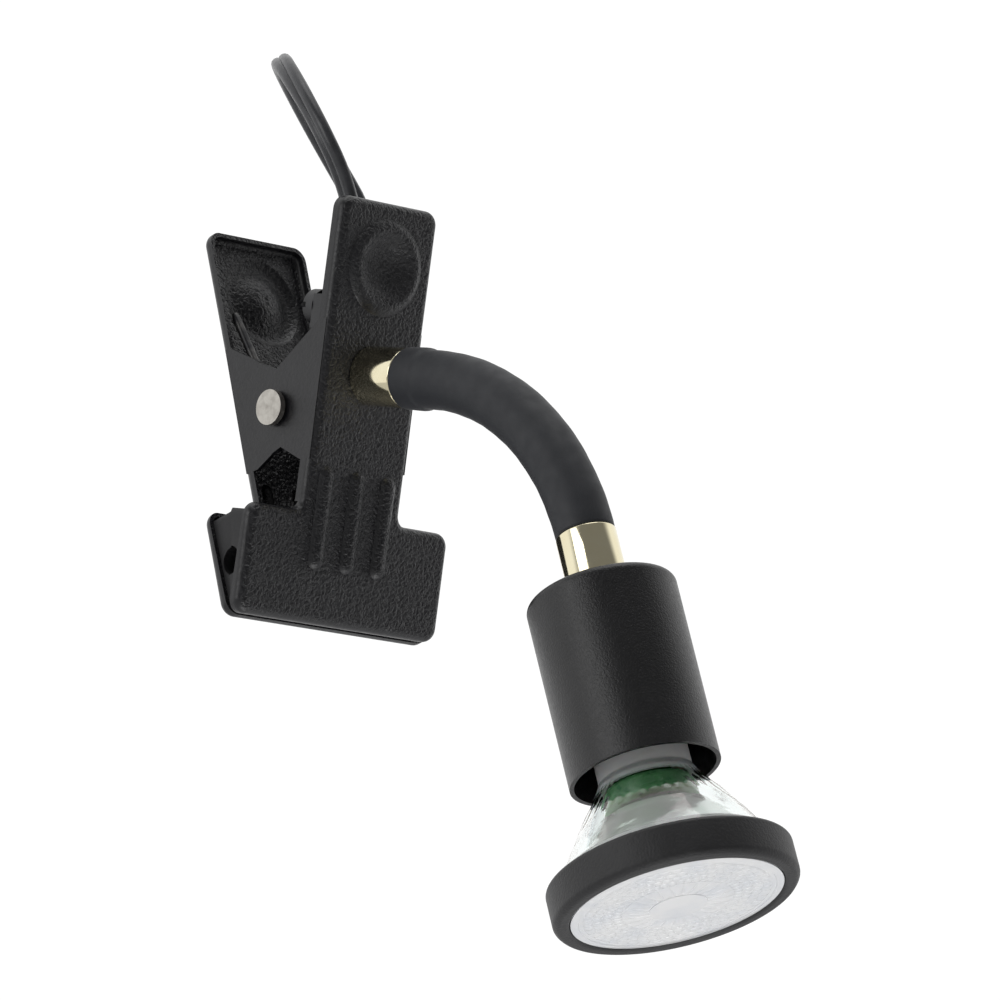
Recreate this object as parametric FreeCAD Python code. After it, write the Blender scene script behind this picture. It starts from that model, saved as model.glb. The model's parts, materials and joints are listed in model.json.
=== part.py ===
import FreeCAD, Part
import math
import os
from FreeCAD import Placement, Rotation, Vector

# Clip-on reading lamp: a sprung two-plate clamp, a gooseneck and a GU10 spot head.
# Millimetres. +Z runs up the middle plane of the clamp from the jaw mouth to the handles,
# -Y is the side of the arm and +X is the clamp's right as seen from the arm's side.
# The origin is the middle of the jaw mouth, at the jaws' lower edge.

# Clamp plates
SHEET = 1.0             # sheet steel
PLATE_LENGTH = 95.3     # jaw edge to handle end, along the plate
JAW_HEIGHT = 24.7
JAW_WIDTH = 60.8
HANDLE_WIDTH = 29.2     # both handles
SIDE_GAP = 0.3          # between the nested side cheeks
REAR_SHIFT = SHEET + SIDE_GAP       # the rear plate stands this far to the right
FRONT_TILT = 12.3       # plate against the middle plane, degrees
REAR_TILT = 13.1
MOUTH_HALF = 3.64       # middle plane to each plate's outer face at the jaw edge
BEND_RADIUS = 2.0       # outside of the folded rim
FRONT_RIM = 3.6         # rim depth from the outer face
REAR_RIM = 3.0
DIMPLE_HEIGHT = 80.8    # thumb dimple above the jaw edge
DIMPLE_RADIUS = 10.9
RIB_PITCH = 9.4
RIB_RADIUS = 2.6
RIB_TOP = 35.5
RIB_BOTTOM = 11.5

# Pivot and spring
PIVOT_Z = 48.6
PIN_RADIUS = 2.5
PIN_HEAD_RADIUS = 4.0
WIRE = 2.0              # spring wire
COIL_RADIUS = 4.1       # to the wire's middle

# Pads
PAD_GAP = 0.2           # middle plane to each pad
ROD_RADIUS = 3.25       # half-round channel for a thin rod
ROD_Z = 12.4
MOUTH_SLOT = 0.7        # half the gap between the pads above the channel

# Arm
ARM_HEIGHT = 56.6       # arm axis above the jaw edge, along the front plate
FERRULE_RADIUS = 6.7
FERRULE_LENGTH = 12.5
COLLAR_RADIUS = 7.0
COLLAR_END = 19.0
SLEEVE_RADIUS = 6.6
SLEEVE_BORE = 4.4
TUBE_RADIUS = 4.0       # flexible steel tube
TUBE_BORE = 2.6
NECK_STRAIGHT = 21.0
NECK_RADIUS = 60.8
NECK_BEND = 61.2        # degrees
FIRST_JOINT = 23.0
LINK_LENGTH = 10.0
LINKS = 6
LINK_GAP = 0.35         # link end to joint centre, on the axis
LINK_CONE = 9.5         # each link end slopes back by this much, degrees
HEAD_FERRULE = 14.0
NIPPLE_RADIUS = 5.0
NIPPLE_BORE = 3.5
NUT_FLATS = 14.0

# Head, measured down from the top of its shell
HEAD_RADIUS = 16.6
HEAD_LENGTH = 43.0
HEAD_WALL = 1.0
HOLDER_TOP = 9.0
HOLDER_BOTTOM = 21.7
HOLDER_RADIUS = 11.5
PIN_CIRCLE = 5.0        # lamp pins from the axis
BULB_TOP = 22.0
RING_TOP = 64.6
RING_BOTTOM = 73.6
RING_RADIUS = 27.0
LENS_RADIUS = 23.3

# Cord: flat twin lead. Its solids stand beside the clamp, swung by this much about Z
# so that the "across" and "away" directions below are easy to place.
CORD = 4.8              # width of the flat lead
CORD_SWING = 43.489
BOOT_FOOT = (10.9, -7.0, 66.5)      # strain relief, across, away, up
BOOT_TIP = (8.4, -9.4, 86.4)
RISE_ACROSS = 5.1       # foot of the arch
RISE_AWAY = -11.6
RISE_Z = 103.8
ARCH_RADIUS = 28.2
ARCH_LEAN = (-0.471, -0.166, 0.867)
ARCH_AWAY = (0.0, 0.982, 0.188)
HANK_AWAY = 60.0
HANK_Z = 51.0
HANK_HEIGHT = 72.0
HANK_RADIUS = 22.0
HANK_THICK = 15.0
TAIL_ACROSS = 7.0
TAIL_AWAY = 50.0
PLUG_ACROSS = 2.5
PLUG_AWAY = 90.0

X_AXIS = Vector(1, 0, 0)
Y_AXIS = Vector(0, 1, 0)
Z_AXIS = Vector(0, 0, 1)


def plate_frame(tilt):
    """Plate coordinates to the world: x across, y up the plate, z out of its face."""
    return Placement(Vector(0, -MOUTH_HALF, 0), Rotation(X_AXIS, 90 + tilt))


def set_in(frame, shape):
    placed = shape.copy()
    placed.Placement = frame.multiply(placed.Placement)
    return placed


def on_front(shape):
    """Set a shape made in plate coordinates on the front plate."""
    return set_in(plate_frame(FRONT_TILT), shape)


def on_rear(shape):
    """Set a shape made in plate coordinates on the rear plate."""
    placed = set_in(plate_frame(REAR_TILT), shape).mirror(Vector(0, 0, 0), Y_AXIS)
    placed.translate(Vector(REAR_SHIFT, 0, 0))
    return placed


def block(x0, x1, y0, y1, z0, z1):
    return Part.makeBox(x1 - x0, y1 - y0, z1 - z0, Vector(x0, y0, z0))


def ring(outer, inner, z0, z1):
    """A washer about Z."""
    height = z1 - z0
    base = Vector(0, 0, z0)
    return Part.makeCylinder(outer, height, base).cut(Part.makeCylinder(inner, height, base))


def prism(points, vector):
    """A closed outline pushed along a vector."""
    wire = Part.makePolygon(points + [points[0]])
    return Part.Face(wire).extrude(vector)


def turned(points):
    """A closed (radius, height) outline turned about Z."""
    outline = [Vector(radius, 0, height) for radius, height in points]
    wire = Part.makePolygon(outline + [outline[0]])
    return Part.Face(wire).revolve(Vector(0, 0, 0), Z_AXIS, 360)


def hexagon(flats, z0, z1):
    corner = flats / math.sqrt(3)
    points = [Vector(corner * math.cos(math.radians(60 * i)),
                     corner * math.sin(math.radians(60 * i)), z0) for i in range(6)]
    return prism(points, Vector(0, 0, z1 - z0))


def soften(shape, radius, choose):
    """Fillet the edges that a test on the edge's middle picks."""
    picked = []
    for edge in shape.Edges:
        middle = edge.valueAt(0.5 * (edge.FirstParameter + edge.LastParameter))
        if choose(edge, middle):
            picked.append(edge)
    return shape.makeFillet(radius, picked)


# ---------------------------------------------------------------- clamp plates

def plate_outline(inset, z):
    """The T-shaped outline with rounded corners, drawn in by an inset."""
    half = HANDLE_WIDTH / 2 - inset
    jaw = JAW_WIDTH / 2 - inset
    low = inset
    shoulder = JAW_HEIGHT - inset
    top = PLATE_LENGTH - inset
    corners = [(-jaw, low), (jaw, low), (jaw, shoulder), (half, shoulder), (half, top),
               (-half, top), (-half, shoulder), (-jaw, shoulder)]
    points = [Vector(x, y, z) for x, y in corners]
    face = Part.Face(Part.makePolygon(points + [points[0]]))
    slab = face.extrude(Vector(0, 0, 1))
    inner = {3, 6}
    result = slab
    for inside, radius in ((False, 3.2 - inset), (True, 2.6 + inset)):
        wanted = [points[i] for i in range(8) if (i in inner) == inside]
        result = soften(result, radius, lambda edge, middle: any(
            abs(middle.x - p.x) < 0.01 and abs(middle.y - p.y) < 0.01 for p in wanted))
    bottom = min(result.Faces, key=lambda one: one.CenterOfMass.z)
    return bottom


def tray(rim):
    """A pressed plate: flat face at z = 0, rim folded back to z = -rim."""
    outer = plate_outline(0, -rim).extrude(Vector(0, 0, rim))
    outer = soften(outer, BEND_RADIUS, lambda edge, middle: abs(middle.z) < 0.001)
    cavity = plate_outline(SHEET, -rim - 1).extrude(Vector(0, 0, rim + 1 - SHEET))
    cavity = soften(cavity, BEND_RADIUS - SHEET, lambda edge, middle: abs(middle.z + SHEET) < 0.001)
    return outer.cut(cavity)


def dimple():
    """Raised ring round a thumb dish, one sheet thick, about Z at the origin."""
    def curve(drop):
        knots = [(DIMPLE_RADIUS, 0.0), (9.9, 0.75), (8.7, 1.15), (7.2, 0.75), (4.2, -0.65),
                 (0.0, -1.3)]
        spline = Part.BSplineCurve()
        spline.interpolate([Vector(radius, 0, height - drop) for radius, height in knots])
        return spline.toShape()
    top = curve(0.0)
    under = curve(SHEET)
    rim = Part.makeLine(Vector(DIMPLE_RADIUS, 0, 0), Vector(DIMPLE_RADIUS, 0, -SHEET))
    axis = Part.makeLine(Vector(0, 0, -1.3), Vector(0, 0, -1.3 - SHEET))
    wire = Part.Wire(Part.__sortEdges__([top, rim, under, axis]))
    return Part.Face(wire).revolve(Vector(0, 0, 0), Z_AXIS, 360)


def capsule(radius, x, depth):
    """A round bar with ball ends, standing along a stiffening rib."""
    length = RIB_TOP - RIB_BOTTOM - 2 * RIB_RADIUS
    foot = Vector(x, RIB_BOTTOM + RIB_RADIUS, depth)
    head = foot + Vector(0, length, 0)
    bar = Part.makeCylinder(radius, length, foot, Y_AXIS)
    return bar.fuse([Part.makeSphere(radius, foot), Part.makeSphere(radius, head)])


def press_details(plate):
    """Press the thumb dimple and the three ribs into a plate."""
    hole = Part.makeCylinder(DIMPLE_RADIUS, 4, Vector(0, DIMPLE_HEIGHT, -2.5))
    dish = dimple()
    dish.translate(Vector(0, DIMPLE_HEIGHT, 0))
    plate = plate.cut(hole).fuse(dish)
    for place in (-1, 0, 1):
        plate = plate.fuse(capsule(RIB_RADIUS, place * RIB_PITCH, -1.35))
    for place in (-1, 0, 1):
        plate = plate.cut(capsule(RIB_RADIUS - 0.9, place * RIB_PITCH, -1.35))
    below = block(-14, 14, RIB_BOTTOM - 1, RIB_TOP + 1, -5, -SHEET)
    return plate.cut(below)


def cheek(points, bulge):
    """Two side lobes round the pivot, drawn as (y, z) with one bowed side."""
    corners = [Vector(0, y, z) for y, z in points]
    edges = []
    for i, start in enumerate(corners):
        end = corners[(i + 1) % len(corners)]
        if i == 3:
            edges.append(Part.Arc(start, Vector(0, bulge[0], bulge[1]), end).toShape())
        else:
            edges.append(Part.makeLine(start, end))
    face = Part.Face(Part.Wire(edges))
    right = face.extrude(Vector(SHEET, 0, 0))
    right.translate(Vector(HANDLE_WIDTH / 2 - SHEET, 0, 0))
    left = right.mirror(Vector(0, 0, 0), X_AXIS)
    return right, left


def trim_jaw_rim(plate, top_depth, low_depth):
    """The rim grows shallower from the jaw edge up to the shoulder."""
    half = JAW_WIDTH / 2 + 1
    points = [Vector(-half, -1, -low_depth), Vector(-half, JAW_HEIGHT + 1.8, -top_depth),
              Vector(-half, JAW_HEIGHT + 1.8, -9), Vector(-half, -1, -9)]
    return plate.cut(prism(points, Vector(2 * half, 0, 0)))


def bores(plate, radius):
    return plate.cut(Part.makeCylinder(radius, 60, Vector(-30, 0, PIVOT_Z), X_AXIS))


def front_plate():
    plate = press_details(tray(FRONT_RIM))
    plate = trim_jaw_rim(plate, 2.5, 3.3)
    plate = plate.cut(Part.makeCylinder(NIPPLE_RADIUS, 4, Vector(0, ARM_HEIGHT, -2.5)))
    plate = on_front(plate)
    outline = [(-17.0, 66.4), (-14.2, 66.2), (-0.5, 57.5), (7.0, 60.7), (1.6, 38.5), (-1.4, 39.6),
               (-7.4, 35.9), (-10.6, 35.5)]
    for lobe in cheek(outline, (7.9, 49.5)):
        plate = plate.fuse(lobe)
    return bores(plate, PIN_RADIUS)


def rear_plate():
    plate = press_details(tray(REAR_RIM))
    plate = trim_jaw_rim(plate, 2.2, 2.9)
    plate = on_rear(plate)
    outline = [(17.6, 65.2), (15.4, 65.0), (0.5, 57.5), (-6.8, 60.4), (-1.6, 38.5), (1.4, 39.6),
               (7.7, 36.1), (11.2, 35.7)]
    for lobe in cheek(outline, (-7.7, 49.5)):
        lobe.translate(Vector(REAR_SHIFT, 0, 0))
        plate = plate.fuse(lobe)
    return bores(plate, PIN_RADIUS + 0.05)


def pad(place, high):
    """A moulded pad that fills a jaw from the sheet to the mouth, with a rod channel."""
    inset = SHEET + 0.1
    shoulder = JAW_HEIGHT - inset
    body = plate_outline(inset, -12).extrude(Vector(0, 0, 12 - SHEET))
    body = body.common(block(-40, 40, 0, shoulder, -13, 0))
    body = soften(body, BEND_RADIUS - SHEET, lambda edge, middle: abs(middle.z + SHEET) < 0.001
                  and middle.y < shoulder - 0.01)
    body = place(body.common(block(-40, 40, 0, high, -13, 0)))
    keep = block(-40, 40, -30, -PAD_GAP, -5, 40)
    if place is on_rear:
        keep = block(-40, 40, PAD_GAP, 30, -5, 40)
    body = body.common(keep)
    body = body.cut(Part.makeCylinder(ROD_RADIUS, 80, Vector(-40, 0, ROD_Z), X_AXIS))
    body = body.cut(block(-40, 40, -MOUTH_SLOT, MOUTH_SLOT, ROD_Z, 40))
    ribs = place(block(-14, 14, RIB_BOTTOM - 0.5, shoulder + 1, -1.6, 2))
    return body.cut(ribs)


def clamp_spring():
    """Double-leg torsion spring: a coil round the pin and a leg up each plate."""
    reach = 21.0
    wall = WIRE / 2 + 0.1
    coil = ring(COIL_RADIUS + wall, COIL_RADIUS - wall, -reach / 2, reach / 2)
    coil.rotate(Vector(0, 0, 0), Y_AXIS, 90)
    coil.translate(Vector(0, 0, PIVOT_Z))
    legs = []
    for side, lean, length in ((1, 28.2, 31.0), (-1, 27.2, 31.0)):
        slope = math.radians(lean)
        along = Vector(0, side * math.sin(slope), math.cos(slope))
        foot = Vector(-side * (reach - WIRE) / 2, side * COIL_RADIUS * math.cos(slope),
                      PIVOT_Z - COIL_RADIUS * math.sin(slope))
        legs.append(Part.makeCylinder(WIRE / 2, length, foot, along))
    return coil.fuse(legs)


def pivot_pin():
    left = -HANDLE_WIDTH / 2
    right = HANDLE_WIDTH / 2 + REAR_SHIFT
    shaft = Part.makeCylinder(PIN_RADIUS, right - left + 4.6, Vector(left - 1.0, 0, PIVOT_Z), X_AXIS)
    head = Part.makeCylinder(PIN_HEAD_RADIUS, 1.4, Vector(left - 2.2, 0, PIVOT_Z), X_AXIS)
    groove = ring(PIN_RADIUS + 1, PIN_RADIUS - 0.6, 0, 0.9)
    groove.rotate(Vector(0, 0, 0), Y_AXIS, 90)
    groove.translate(Vector(right + 1.0, 0, PIVOT_Z))
    return shaft.fuse(head).cut(groove).removeSplitter()


def pin_clip():
    right = HANDLE_WIDTH / 2 + REAR_SHIFT
    clip = ring(PIN_HEAD_RADIUS, PIN_RADIUS - 0.6, 0, 0.8)
    clip = clip.cut(block(-1.6, 1.6, 0, 6, -1, 2))
    clip.rotate(Vector(0, 0, 0), Y_AXIS, 90)
    clip.translate(Vector(right + 1.05, 0, PIVOT_Z))
    return clip


# ---------------------------------------------------------------- arm

def neck_frame(s):
    """Point and direction on the arm's centreline, s from the front plate's face."""
    tilt = math.radians(FRONT_TILT)
    base = Vector(0, -MOUTH_HALF - ARM_HEIGHT * math.sin(tilt), ARM_HEIGHT * math.cos(tilt))
    out = Vector(0, -math.cos(tilt), -math.sin(tilt))
    down = Vector(0, math.sin(tilt), -math.cos(tilt))
    if s <= NECK_STRAIGHT:
        return base + out * s, out
    turn = min((s - NECK_STRAIGHT) / NECK_RADIUS, math.radians(NECK_BEND))
    rest = s - NECK_STRAIGHT - turn * NECK_RADIUS
    point = base + out * (NECK_STRAIGHT + NECK_RADIUS * math.sin(turn))
    point = point + down * (NECK_RADIUS * (1 - math.cos(turn)))
    along = out * math.cos(turn) + down * math.sin(turn)
    return point + along * rest, along


def along_neck(shape, s):
    """Set a shape made about Z so that its z = 0 is at s and +Z points to the head."""
    point, along = neck_frame(s)
    return set_in(Placement(point, Rotation(Z_AXIS, along)), shape)


def neck_end():
    return NECK_STRAIGHT + NECK_RADIUS * math.radians(NECK_BEND)


def bent_tube(outer, inner, s0, s1):
    """A piece of round tube that follows the arm from s0 to s1."""
    start, along = neck_frame(s0)
    middle = neck_frame(0.5 * (s0 + s1))[0]
    end = neck_frame(s1)[0]
    if s1 <= NECK_STRAIGHT or s0 >= neck_end():
        path = Part.Wire([Part.makeLine(start, end)])
    elif s0 < NECK_STRAIGHT:
        knee = neck_frame(NECK_STRAIGHT)[0]
        bow = neck_frame(0.5 * (NECK_STRAIGHT + s1))[0]
        path = Part.Wire([Part.makeLine(start, knee), Part.Arc(knee, bow, end).toShape()])
    else:
        path = Part.Wire([Part.Arc(start, middle, end).toShape()])
    solids = []
    for radius in (outer, inner):
        circle = Part.Wire([Part.makeCircle(radius, start, along)])
        solids.append(path.makePipeShell([circle], True, False))
    return solids[0].cut(solids[1])


def hollow_end(s, sign):
    """A cone to cut away from a link end, so that it can swing about the joint at s."""
    slope = math.tan(math.radians(LINK_CONE))
    reach = 10.0
    cutter = turned([(0, LINK_GAP), (reach, LINK_GAP + reach * slope), (reach, -4), (0, -4)])
    if sign < 0:
        cutter = cutter.mirror(Vector(0, 0, 0), Z_AXIS)
    return along_neck(cutter, s)


def neck_piece(outer, inner, s0, s1, swing_start, swing_end):
    piece = bent_tube(outer, inner, s0, s1)
    if swing_start:
        piece = piece.cut(hollow_end(s0, 1))
    if swing_end:
        piece = piece.cut(hollow_end(s1, -1))
    return piece


def joint_places():
    return [FIRST_JOINT + LINK_LENGTH * i for i in range(LINKS + 1)]


def neck_nodes():
    """Sleeve and steel tube of the arm, cut into links that swing at the joints."""
    nodes = {}
    places = joint_places()
    nodes["sleeve_base"] = neck_piece(SLEEVE_RADIUS, SLEEVE_BORE, COLLAR_END, places[0], False, True)
    nodes["tube_base"] = neck_piece(TUBE_RADIUS, TUBE_BORE, FERRULE_LENGTH - 1, places[0], False, True)
    for i in range(LINKS):
        s0, s1 = places[i], places[i + 1]
        nodes["sleeve_link_%d" % (i + 1)] = neck_piece(SLEEVE_RADIUS, SLEEVE_BORE, s0, s1, True, True)
        nodes["tube_link_%d" % (i + 1)] = neck_piece(TUBE_RADIUS, TUBE_BORE, s0, s1, True, True)
    end = neck_end()
    nodes["sleeve_end"] = neck_piece(SLEEVE_RADIUS, SLEEVE_BORE, places[-1], end, True, False)
    nodes["tube_end"] = neck_piece(TUBE_RADIUS, TUBE_BORE, places[-1], end + 1, True, False)
    return nodes


def base_fittings():
    """What joins the arm to the front plate, set along the arm's axis."""
    nodes = {}
    ferrule = ring(FERRULE_RADIUS, NIPPLE_RADIUS, 0, FERRULE_LENGTH)
    nodes["base_ferrule"] = along_neck(ferrule, 0)
    nipple = ring(NIPPLE_RADIUS, NIPPLE_BORE, -8.0, 11.4)
    nodes["base_nipple"] = along_neck(nipple, 0)
    washer = ring(7.4, NIPPLE_RADIUS, -SHEET - 0.8, -SHEET)
    nodes["base_washer"] = along_neck(washer, 0)
    nut = hexagon(NUT_FLATS, -SHEET - 3.8, -SHEET - 0.8)
    nut = nut.cut(Part.makeCylinder(NIPPLE_RADIUS, 8, Vector(0, 0, -8)))
    nodes["base_nut"] = along_neck(nut, 0)
    collar = ring(COLLAR_RADIUS, SLEEVE_BORE, FERRULE_LENGTH, COLLAR_END)
    collar = soften(collar, 0.5, lambda edge, middle: edge.BoundBox.XLength > 2 * COLLAR_RADIUS - 0.1
                    and middle.z > COLLAR_END - 0.01)
    nodes["sleeve_collar"] = along_neck(collar, 0)
    return nodes


# ---------------------------------------------------------------- cord grip

def boot_cone():
    """Tapered strain relief of the lead, 20 mm long."""
    foot = swung(*BOOT_FOOT)
    axis = swung(*BOOT_TIP) - foot
    return Part.makeCone(4.2, 2.9, axis.Length, foot, axis)


def cord_grip():
    """Moulded saddle on the inside of the front handle; it holds the strain relief."""
    body = block(-13, 8, 65.4, 73, -5.4, -SHEET - 0.25)
    bore = Part.makeCylinder(1.6, 8.5, Vector(-9.2, 70.4, -9.5))
    return on_front(body.cut(bore)).cut(boot_cone())


def grip_bar():
    """Clamp bar over the strain relief, with a tab for its screw."""
    bar = block(-3.5, 8, 65.4, 73, -10.6, -5.4)
    bar = soften(bar, 1.0, lambda edge, middle: abs(middle.z + 10.6) < 0.01)
    bar = bar.fuse(block(-13, -3.5, 65.4, 73, -8.0, -5.4)).removeSplitter()
    bore = Part.makeCylinder(1.6, 8, Vector(-9.2, 70.4, -9))
    return on_front(bar.cut(bore)).cut(boot_cone())


def grip_screw():
    """Cheese-head screw of the clamp bar."""
    head = Part.makeCylinder(4.0, 3.0, Vector(-9.2, 70.4, -11.0))
    head = head.cut(block(-14, -4, 69.8, 71.0, -12, -10.0))
    shank = Part.makeCylinder(1.6, 6.8, Vector(-9.2, 70.4, -8.0))
    return on_front(head.fuse(shank))


# ---------------------------------------------------------------- head

def head_place(shape):
    """Set a shape made about Z, measured down from the head's top, under the arm."""
    return along_neck(shape, neck_end() + HEAD_FERRULE)


def head_shell():
    outer = Part.makeCylinder(HEAD_RADIUS, HEAD_LENGTH)
    outer = soften(outer, 1.8, lambda edge, middle: middle.z < 0.001)
    inner = Part.makeCylinder(HEAD_RADIUS - HEAD_WALL, HEAD_LENGTH, Vector(0, 0, HEAD_WALL + 0.2))
    hole = Part.makeCylinder(NIPPLE_RADIUS, 5, Vector(0, 0, -1))
    return head_place(outer.cut(inner).cut(hole))


def holder_bracket():
    """Steel strap under the shell's top with two legs beside the lamp holder."""
    top = block(-13.5, 13.5, -5.5, 5.5, HEAD_WALL + 0.2, HEAD_WALL + 1.2)
    top = top.cut(Part.makeCylinder(NIPPLE_RADIUS, 4))
    for side in (-1, 1):
        x0 = side * 12.5
        x1 = side * 13.5
        top = top.fuse(block(min(x0, x1), max(x0, x1), -5.5, 5.5, HEAD_WALL + 0.2, 16))
    hole = Part.makeCylinder(1.5, 40, Vector(-20, 0, 12.5), X_AXIS)
    return head_place(top.removeSplitter().cut(hole))


def sector(r0, r1, z0, z1, start, sweep):
    """Part of a ring about Z."""
    outline = [Vector(r0, 0, z0), Vector(r1, 0, z0), Vector(r1, 0, z1), Vector(r0, 0, z1)]
    face = Part.Face(Part.makePolygon(outline + [outline[0]]))
    solid = face.revolve(Vector(0, 0, 0), Z_AXIS, sweep)
    solid.rotate(Vector(0, 0, 0), Z_AXIS, start)
    return solid


def lamp_holder():
    """Ceramic GU10 holder: two curved slots let the lamp's pins in and lock them."""
    body = Part.makeCylinder(HOLDER_RADIUS, HOLDER_BOTTOM - HOLDER_TOP, Vector(0, 0, HOLDER_TOP))
    body = soften(body, 0.8, lambda edge, middle: edge.BoundBox.XLength > 20)
    wings = block(-12.5, 12.5, -5, 5, HOLDER_TOP + 1, HOLDER_BOTTOM - 3)
    body = body.fuse(wings).removeSplitter()
    slots = []
    for turn in (0, 180):
        slots.append(sector(PIN_CIRCLE - 2.9, PIN_CIRCLE + 2.9, 13.4, 19.3, turn - 38, 110))
        slots.append(sector(PIN_CIRCLE - 1.9, PIN_CIRCLE + 1.9, 19.2, 23, turn - 26, 86))
        mouth = Part.makeCylinder(2.9, 5, Vector(PIN_CIRCLE, 0, 18.5))
        mouth.rotate(Vector(0, 0, 0), Z_AXIS, turn + 36)
        slots.append(mouth)
    for side in (-1, 1):
        slots.append(Part.makeCylinder(1.5, 6, Vector(side * 8.5, 0, 12.5),
                                       Vector(side, 0, 0)))
        slots.append(Part.makeCylinder(1.2, 6, Vector(side * 4, 0, 8), Z_AXIS))
    for slot in slots:
        body = body.cut(slot)
    return head_place(body)


def holder_contacts():
    """Two sprung brass contacts above the pin slots."""
    blades = []
    for turn in (0, 180):
        blade = sector(PIN_CIRCLE - 1.6, PIN_CIRCLE + 1.6, 13.4, 14.0, turn - 20, 70)
        blades.append(head_place(blade))
    return Part.makeCompound(blades)


def holder_screws():
    """Two screws that hold the lamp holder between the bracket's legs."""
    screws = []
    for side in (-1, 1):
        out = Vector(side, 0, 0)
        shank = Part.makeCylinder(1.5, 5.0, Vector(side * 8.5, 0, 12.5), out)
        head = Part.makeCylinder(2.7, 1.4, Vector(side * 13.5, 0, 12.5), out)
        slot = block(-30, 30, -0.35, 0.35, 9, 16).cut(block(-14.3, 14.3, -2, 2, 8, 17))
        screws.append(head_place(shank.fuse(head).cut(slot)))
    return Part.makeCompound(screws)


def head_fittings():
    nodes = {}
    ferrule = ring(FERRULE_RADIUS, NIPPLE_RADIUS, -HEAD_FERRULE, 0)
    nodes["head_ferrule"] = head_place(ferrule)
    nipple = ring(NIPPLE_RADIUS, NIPPLE_BORE, -HEAD_FERRULE + 1.5, 6.6)
    nodes["head_nipple"] = head_place(nipple)
    nut = hexagon(NUT_FLATS, HEAD_WALL + 1.2, HEAD_WALL + 4.2)
    nut = nut.cut(Part.makeCylinder(NIPPLE_RADIUS, 10))
    nodes["head_nut"] = head_place(nut)
    return nodes


# ---------------------------------------------------------------- lamp

def bulb_base():
    """White plastic body of the spot lamp: boss, neck and foot of the reflector."""
    outer = [(0, BULB_TOP), (8.6, BULB_TOP), (8.6, 25.0), (10.3, 26.0), (10.3, 45.0), (0, 45.0)]
    hollow = [(0, 29.0), (9.0, 29.0), (9.0, 46.0), (0, 46.0)]
    return head_place(turned(outer).cut(turned(hollow)))


def reflector_radius(height):
    """Outer radius of the glass, from the neck down to the ring."""
    part = (height - 44.0) / (RING_TOP - 44.0)
    return 10.9 + 13.2 * part ** 0.86


def bulb_reflector():
    """Glass cup that flares from the neck to the ring, 1.2 mm thick."""
    steps = 6
    heights = [44.0 + (RING_TOP - 44.0) * i / steps for i in range(steps + 1)]
    outside = [(reflector_radius(height), height) for height in heights]
    inside = [(radius - 1.2, height) for radius, height in outside[1:]]
    foot = [(10.4, 44.0), (10.4, 45.4)]
    return head_place(turned(outside + inside[::-1] + foot[::-1]))


def bulb_ring():
    """Black front ring that holds the lens."""
    lip = LENS_RADIUS
    points = [(24.3, RING_TOP), (RING_RADIUS - 0.6, RING_TOP), (RING_RADIUS, RING_TOP + 0.6),
              (RING_RADIUS, RING_BOTTOM - 1.0), (RING_RADIUS - 1.0, RING_BOTTOM),
              (lip + 0.4, RING_BOTTOM), (lip, RING_BOTTOM - 0.4), (lip, RING_BOTTOM - 1.6),
              (24.6, RING_BOTTOM - 1.6), (24.6, RING_TOP + 1.2), (23.0, RING_TOP + 1.2),
              (23.0, RING_TOP)]
    return head_place(turned(points))


def bulb_lens():
    """Clear front lens with a low middle dome; it stands a little proud of the ring."""
    face = RING_BOTTOM + 0.4
    points = [(0, face - 2.2), (24.5, face - 4.4), (24.5, RING_BOTTOM - 1.7),
              (LENS_RADIUS - 0.1, RING_BOTTOM - 1.7), (LENS_RADIUS - 0.1, face - 0.8),
              (19.0, face + 0.2), (11.0, face + 0.7), (0, face + 0.9)]
    return head_place(turned(points))


def led_board():
    """Round aluminium board with the light source, behind the lens."""
    board = Part.makeCylinder(21.5, 1.2, Vector(0, 0, RING_TOP - 2.0))
    chip = Part.makeCylinder(6.0, 1.0, Vector(0, 0, RING_TOP - 0.8))
    return head_place(board.fuse(chip).removeSplitter())


def driver_board():
    """Small circuit board of the lamp's driver, upright in the neck, with its parts."""
    board = block(-8.0, 8.0, -0.8, 0.8, 30.0, RING_TOP - 3.5)
    parts = [Part.makeCylinder(3.2, 9, Vector(0, 4.0, 33)), block(-5, 5, -5.5, -0.8, 36, 45)]
    return head_place(board.fuse(parts))


def bulb_pins():
    """Two headed contact pins."""
    pins = []
    for side in (-1, 1):
        place = Vector(side * PIN_CIRCLE, 0, 0)
        neck = Part.makeCylinder(1.55, BULB_TOP - 16.8, place + Vector(0, 0, 16.8))
        knob = Part.makeCylinder(2.45, 2.6, place + Vector(0, 0, 14.4))
        knob = soften(knob, 0.5, lambda edge, middle: middle.z < 14.5)
        pins.append(head_place(neck.fuse(knob).removeSplitter()))
    return Part.makeCompound(pins)


# ---------------------------------------------------------------- cord

def swung(across, away, z):
    """A point beside the clamp: across and away are turned about Z by CORD_SWING."""
    swing = math.radians(CORD_SWING)
    x = across * math.cos(swing) + away * math.sin(swing)
    y = -across * math.sin(swing) + away * math.cos(swing)
    return Vector(x, y, z)


def swing_shape(shape):
    """Turn a shape made with x across and y away into its place beside the clamp."""
    placed = shape.copy()
    placed.rotate(Vector(0, 0, 0), Z_AXIS, -CORD_SWING)
    return placed


def arc_radius(before, corner, after):
    """0.45 of the shorter run over the tangent of half the turn."""
    first = corner - before
    second = after - corner
    half_turn = first.getAngle(second) / 2
    return 0.45 * min(first.Length, second.Length) / math.tan(half_turn)


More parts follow.
